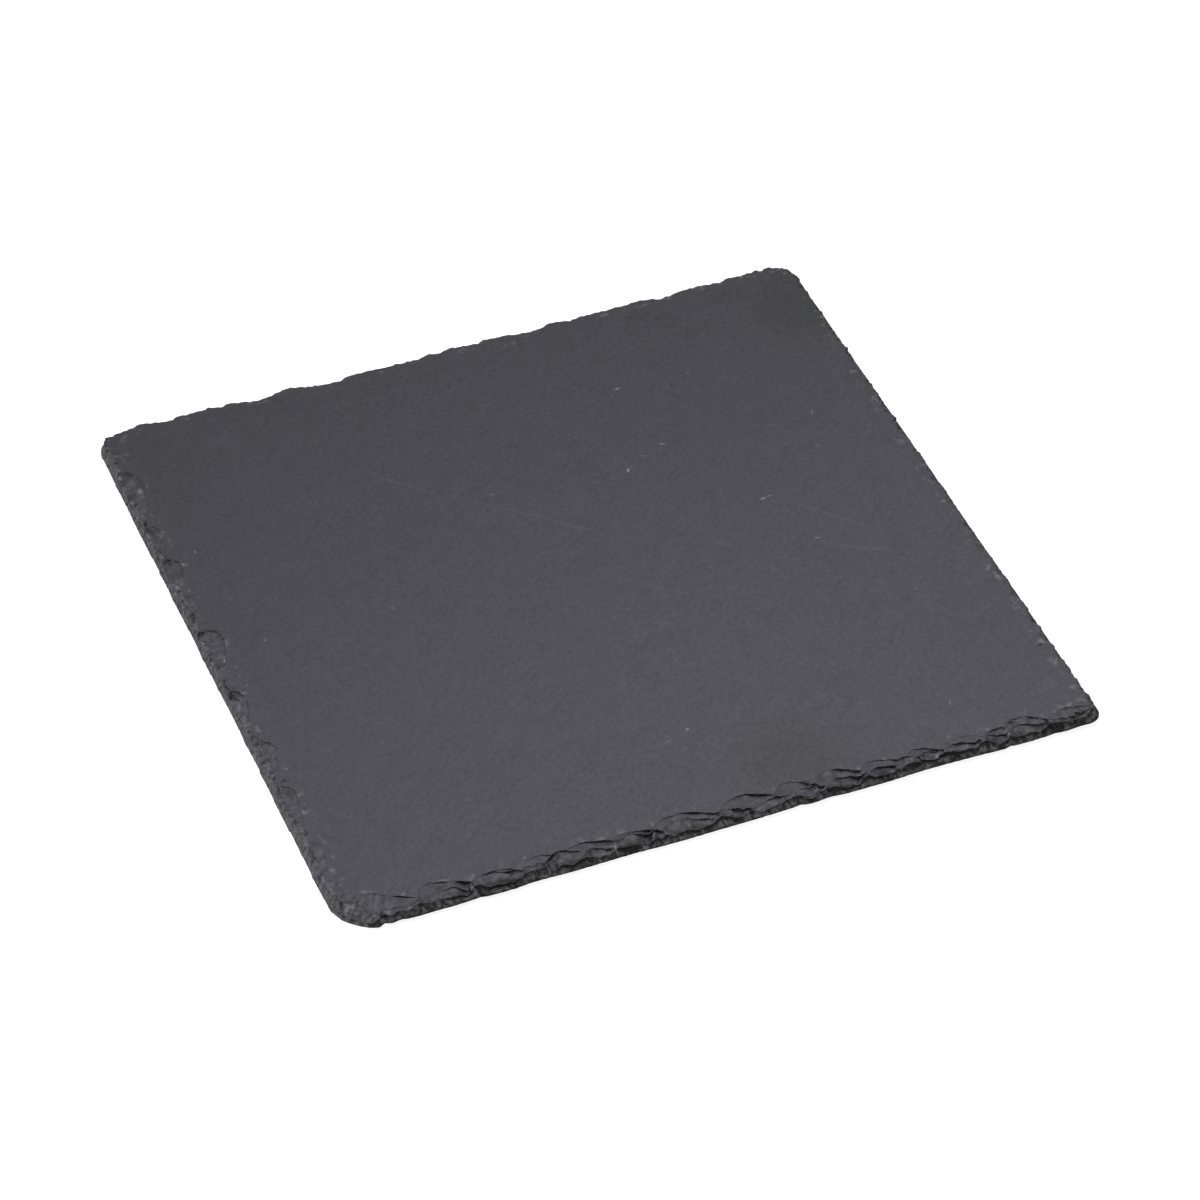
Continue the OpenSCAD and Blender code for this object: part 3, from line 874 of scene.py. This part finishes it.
def slate_material(colours):
    material, nodes, place = new_material("split_slate")
    steep, rim, ridge, painted_shade, floor, painted_light = (
        nodes.add("ShaderNodeAttribute", attribute_name=name).outputs["Fac"]
        for name in "steep rim ridge gap floor pale".split())

    calm = nodes.ramp(nodes.noise(place, 70.0), 0.38, 0.62, 0.18, 0.62)
    coarse = grain(nodes, place, scale=45.0, turn=0.9, stretch=2.2, contrast=0.09)
    middle = grain(nodes, place, scale=230.0, turn=-0.7, stretch=1.7, contrast=calm)
    fine = grain(nodes, place, scale=700.0, turn=-0.7, stretch=1.4, contrast=1.1)
    specks = flecks(nodes, place, scale=160.0, size=0.06, share=0.06)
    tone = nodes.times(nodes.times(coarse["Tone"], middle["Tone"]), fine["Tone"])

    # Marks are looked up at places shaken by about half a millimetre, which makes their rims uneven
    shaken = nodes.add(
        "ShaderNodeTexNoise", {"Vector": place, "Scale": 900.0, "Detail": 1.0}).outputs["Color"]
    shift = nodes.vector("SCALE", nodes.vector("ADD", shaken, (-0.5, -0.5, -0.5)), 0.0012)
    uneven = nodes.vector("ADD", place, shift)
    nicks = marks_mask(nodes, uneven, LIGHT_MARKS, slab_high.z)
    # Dark scratches of the face, with painted shade in the hollows of the broken edge and of the front wall
    scratches_and_shade = marks_mask(nodes, uneven, DARK_SCRATCHES_AND_SHADE, slab_high.z)
    wall_hollow_shade = marks_mask(nodes, uneven, WALL_HOLLOW_SHADE, slab_high.z - WALL_MARK_DEPTH)
    scratches_and_shade = nodes.highest(scratches_and_shade, wall_hollow_shade)
    smudges = marks_mask(nodes, place, FACE_SMUDGES, slab_high.z)
    blots = nodes.ramp(nodes.noise(place, 140.0, detail=3.0, roughness=0.6), 0.3, 0.6, 0.6, 1.1)
    smudges = nodes.maths("MULTIPLY", smudges, blots, clamp_it=True)
    face = nodes.blend(smudges, colours.face, colours.smudge)
    # Light crumbs near the face's rim, partly painted glints there
    patches = nodes.noise(place, 330.0, detail=1.0)
    crumbs_and_glints = nodes.times(rim, nodes.ramp(patches, 0.60, 0.74))
    bright = nodes.highest(nodes.times(specks, 0.25), nicks)
    bright = nodes.highest(bright, nodes.times(crumbs_and_glints, 0.38))
    face = nodes.blend(nodes.times(bright, 0.8), face, colours.powder_and_painted_light)

    # The floors that chips and sheets leave are patchy where they are wide
    lumps = nodes.noise(place, 380.0, detail=4.0, roughness=0.6)
    patchy = nodes.times(nodes.maths("SUBTRACT", lumps, 0.5), nodes.times(floor, 1.6))
    tone = nodes.times(tone, nodes.plus(1.0, patchy))

    # The wall is a pattern of leaning shards. The light ridges between its hollows are powder with a painted
    # highlight
    upright = nodes.add(
        "ShaderNodeMapping",
        {"Vector": place, "Rotation": (0.0, math.radians(-20), 0.0), "Scale": (1.0, 1.0, 3.3)},
        vector_type="TEXTURE").outputs[0]
    shards = nodes.noise(upright, 850.0, detail=3.0, roughness=0.55)
    streaks = nodes.plus(nodes.times(shards, 0.65), nodes.times(lumps, 0.35))
    lit = nodes.times(nodes.ramp(ridge, 0.2, 0.9), nodes.ramp(streaks, 0.50, 0.58))
    rock = nodes.blend(nodes.ramp(streaks, 0.45, 0.57), colours.dark_slate_and_shade, colours.broken)
    rock = nodes.blend(nodes.times(lit, 0.5), rock, colours.powder_and_painted_light)
    # The walls' painted light: a paler tone, strongest on the left wall
    lit_wall_tone = nodes.blend(nodes.ramp(shards, 0.38, 0.62, 0.0, 0.22), colours.face, colours.powder_and_painted_light)
    painted_side_light = nodes.times(painted_light, nodes.ramp(lumps, 0.36, 0.5, 0.3, 0.9))
    rock = nodes.blend(painted_side_light, rock, lit_wall_tone)
    # Painted shade in the gaps under thick layers, under the wall's lip and towards its foot
    rock = nodes.blend(painted_shade, rock, colours.dark_slate_and_shade)
    base = nodes.blend(scratches_and_shade, nodes.blend(steep, face, rock), colours.dark_slate_and_shade)

    grains = nodes.plus(middle["Height"], fine["Height"])
    height = nodes.add("ShaderNodeMix", {0: steep, 2: grains, 3: shards}, data_type="FLOAT").outputs[0]
    relief = nodes.ramp(steep, 0.0, 1.0, 0.2, 0.8)
    bump = nodes.add("ShaderNodeBump", {"Strength": relief, "Distance": 0.0005, "Height": height})

    rough = nodes.plus(nodes.ramp(fine["Height"], 0.3, 0.7, 0.50, 0.62), nodes.times(steep, 0.2))
    return end_material(material, nodes, {
        "Base Color": nodes.vector("SCALE", base, tone), "Roughness": rough, "Normal": bump.outputs[0],
        "Specular IOR Level": nodes.ramp(steep, 0.0, 1.0, 0.08, 0.04)})


def foam_material(colours):
    material, nodes, place = new_material("foam")
    cells = nodes.add("ShaderNodeTexVoronoi", {"Vector": place, "Scale": 2600.0})
    skin = grain(nodes, place, scale=500.0, turn=0.0, stretch=1.0, contrast=0.5)
    pores = nodes.ramp(cells.outputs["Distance"], 0.0, 0.6, 0.7, 1.15)
    tone = nodes.times(pores, skin["Tone"])
    bump = nodes.add(
        "ShaderNodeBump", {"Strength": 0.5, "Distance": 0.0002, "Height": cells.outputs["Distance"]})
    rough = nodes.ramp(skin["Height"], 0.3, 0.7, 0.8, 0.95)
    tinted = nodes.vector("SCALE", colours.foam, tone)
    return end_material(
        material, nodes, {"Base Color": tinted, "Roughness": rough, "Normal": bump.outputs[0]})


def adhesive_material(colours):
    material, nodes, place = new_material("adhesive_film")
    skin = grain(nodes, place, scale=250.0, turn=0.3, stretch=1.5, contrast=0.2)
    dust = nodes.times(flecks(nodes, place, scale=1500.0, size=0.2, share=0.2), 0.5)
    dusty = nodes.blend(dust, nodes.vector("SCALE", colours.adhesive, skin["Tone"]), colours.smudge)
    rough = nodes.ramp(skin["Height"], 0.3, 0.7, 0.25, 0.45)
    return end_material(material, nodes, {"Base Color": dusty, "Roughness": rough})


def seen_rays(nodes):
    """1 for the rays that show a surface to the camera, straight, mirrored or through glass."""
    path = nodes.add("ShaderNodeLightPath").outputs
    seen = nodes.highest(path["Is Camera Ray"], path["Is Glossy Ray"])
    return nodes.highest(seen, path["Is Transmission Ray"])


def floor_material():
    """Pale floor that the camera sees as white, while the board gets only a plain bounce from it."""
    material, nodes, place = new_material("studio_floor")
    seen = seen_rays(nodes)
    bounce = nodes.blend(seen, (0.4, 0.4, 0.4), (0.45, 0.45, 0.45))
    diffuse = nodes.add("ShaderNodeBsdfDiffuse", {"Color": bounce})
    glow = nodes.add("ShaderNodeEmission", {"Color": (1.0, 1.0, 1.0, 1.0)})
    away = nodes.vector("LENGTH", place)
    nodes.put(glow, "Strength", nodes.times(seen, nodes.ramp(away, 0.4, 2.0, 0.91, 1.0)))
    return end_material(material, nodes, {0: diffuse.outputs[0], 1: glow.outputs[0]}, "ShaderNodeAddShader")


class BOARD_OT_slab(bpy.types.Operator):
    """Make the slab of split slate with its flaked edges"""

    bl_idname = "board.add_slab"
    bl_label = "Slate slab"

    def execute(self, context):
        scene = context.scene
        material = slate_material(scene.board_colours)
        piece = new_piece("slate_board", lambda bm: slab_mesh(bm, scene.board_slate), material)
        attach(piece, "root")
        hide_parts("slate_slab")
        return {"FINISHED"}


class BOARD_OT_feet(bpy.types.Operator):
    """Make the four foam feet and finish the films that hold them"""

    bl_idname = "board.add_feet"
    bl_label = "Foam feet"

    def execute(self, context):
        colours = context.scene.board_colours
        foam = foam_material(colours)
        adhesive = adhesive_material(colours)
        for place in PLACES:
            low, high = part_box("foam_foot_" + place)

            def foot_mesh(bm, low=low, high=high):
                radius = (high.x - low.x) / 2
                made = bmesh.ops.create_cone(
                    bm, cap_ends=True, segments=64, radius1=radius, radius2=radius, depth=high.z - low.z)
                bmesh.ops.translate(bm, verts=made["verts"], vec=(low + high) / 2)
                rims = [e for e in bm.edges if any(len(f.verts) > 4 for f in e.link_faces)]
                bmesh.ops.bevel(
                    bm, geom=rims, offset=FOOT_ROUND, segments=FOOT_ROUND_ROWS, profile=0.5,
                    affect="EDGES", material=-1)

            piece = new_piece("foam_pad_" + place, foot_mesh, foam)
            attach(piece, "root")
            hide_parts("foam_foot_" + place)
            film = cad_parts["adhesive_" + place]
            film.data.materials.clear()
            film.data.materials.append(adhesive)
        return {"FINISHED"}


class BOARD_OT_studio(bpy.types.Operator):
    """Set the floor, the lights and the camera"""

    bl_idname = "board.set_studio"
    bl_label = "Plain studio"

    def execute(self, context):
        scene = context.scene
        studio = scene.board_studio

        def floor_mesh(bm):
            bmesh.ops.create_grid(bm, x_segments=1, y_segments=1, size=FLOOR_HALF)

        floor = new_piece("studio_floor", floor_mesh, floor_material())

        for name, place, size, energy in (
                ("side_light", studio.side_place, SIDE_LIGHT_SIZE, studio.side_power),
                ("top_light", studio.top_place, TOP_LIGHT_SIZE, studio.top_power)):
            lamp = bpy.data.lights.new(name, "AREA")
            lamp.shape = "RECTANGLE"
            lamp.size, lamp.size_y = size
            lamp.energy = energy
            light = bpy.data.objects.new(name, lamp)
            light.location = place
            light.rotation_euler = (light.location - Vector(LIT_POINT)).to_track_quat("Z", "Y").to_euler()
            scene.collection.objects.link(light)

        world = bpy.data.worlds.new("studio_air")
        world.use_nodes = True
        nodes = Nodes(world.node_tree)
        level = nodes.ramp(seen_rays(nodes), 0.0, 1.0, studio.sky_level, 1.0)
        air = nodes.add("ShaderNodeBackground", {"Color": (1.0, 1.0, 1.0, 1.0), "Strength": level})
        nodes.add("ShaderNodeOutputWorld", {"Surface": air.outputs[0]})
        scene.world = world

        camera_data = bpy.data.cameras.new("studio_camera")
        camera_data.sensor_width = 36.0
        camera_data.lens = studio.camera_lens
        camera_data.clip_end = 20.0
        camera = bpy.data.objects.new("studio_camera", camera_data)
        camera.location = studio.camera_place
        camera.rotation_euler = Euler(studio.camera_turn, "XYZ")
        scene.collection.objects.link(camera)
        scene.camera = camera
        scene.view_settings.view_transform = "Standard"
        return {"FINISHED"}


class BOARD_PT_panel(bpy.types.Panel):
    """Buttons and sizes of the slate board"""

    bl_idname = "BOARD_PT_panel"
    bl_label = "Slate serving board"
    bl_space_type = "VIEW_3D"
    bl_region_type = "UI"
    bl_category = "Board"

    def draw(self, context):
        for operator in OPERATORS:
            self.layout.operator(operator.bl_idname)
        for group in (getattr(context.scene, name) for name in GROUPS):
            box = self.layout.box()
            for name in group.bl_rna.properties.keys():
                if name not in ("rna_type", "name"):
                    box.prop(group, name)


GROUPS = {"board_slate": SlateSizes, "board_colours": SlateColours, "board_studio": StudioSizes}
OPERATORS = (BOARD_OT_slab, BOARD_OT_feet, BOARD_OT_studio)
CLASSES = (*GROUPS.values(), *OPERATORS, BOARD_PT_panel)


def register():
    for cls in CLASSES:
        bpy.utils.register_class(cls)
    for name, group in GROUPS.items():
        setattr(bpy.types.Scene, name, PointerProperty(type=group))


def unregister():
    for name in GROUPS:
        delattr(bpy.types.Scene, name)
    for cls in reversed(CLASSES):
        bpy.utils.unregister_class(cls)


def main():
    register()
    bpy.ops.board.add_slab()
    bpy.ops.board.add_feet()
    bpy.ops.board.set_studio()


if __name__ == "__main__":
    main()
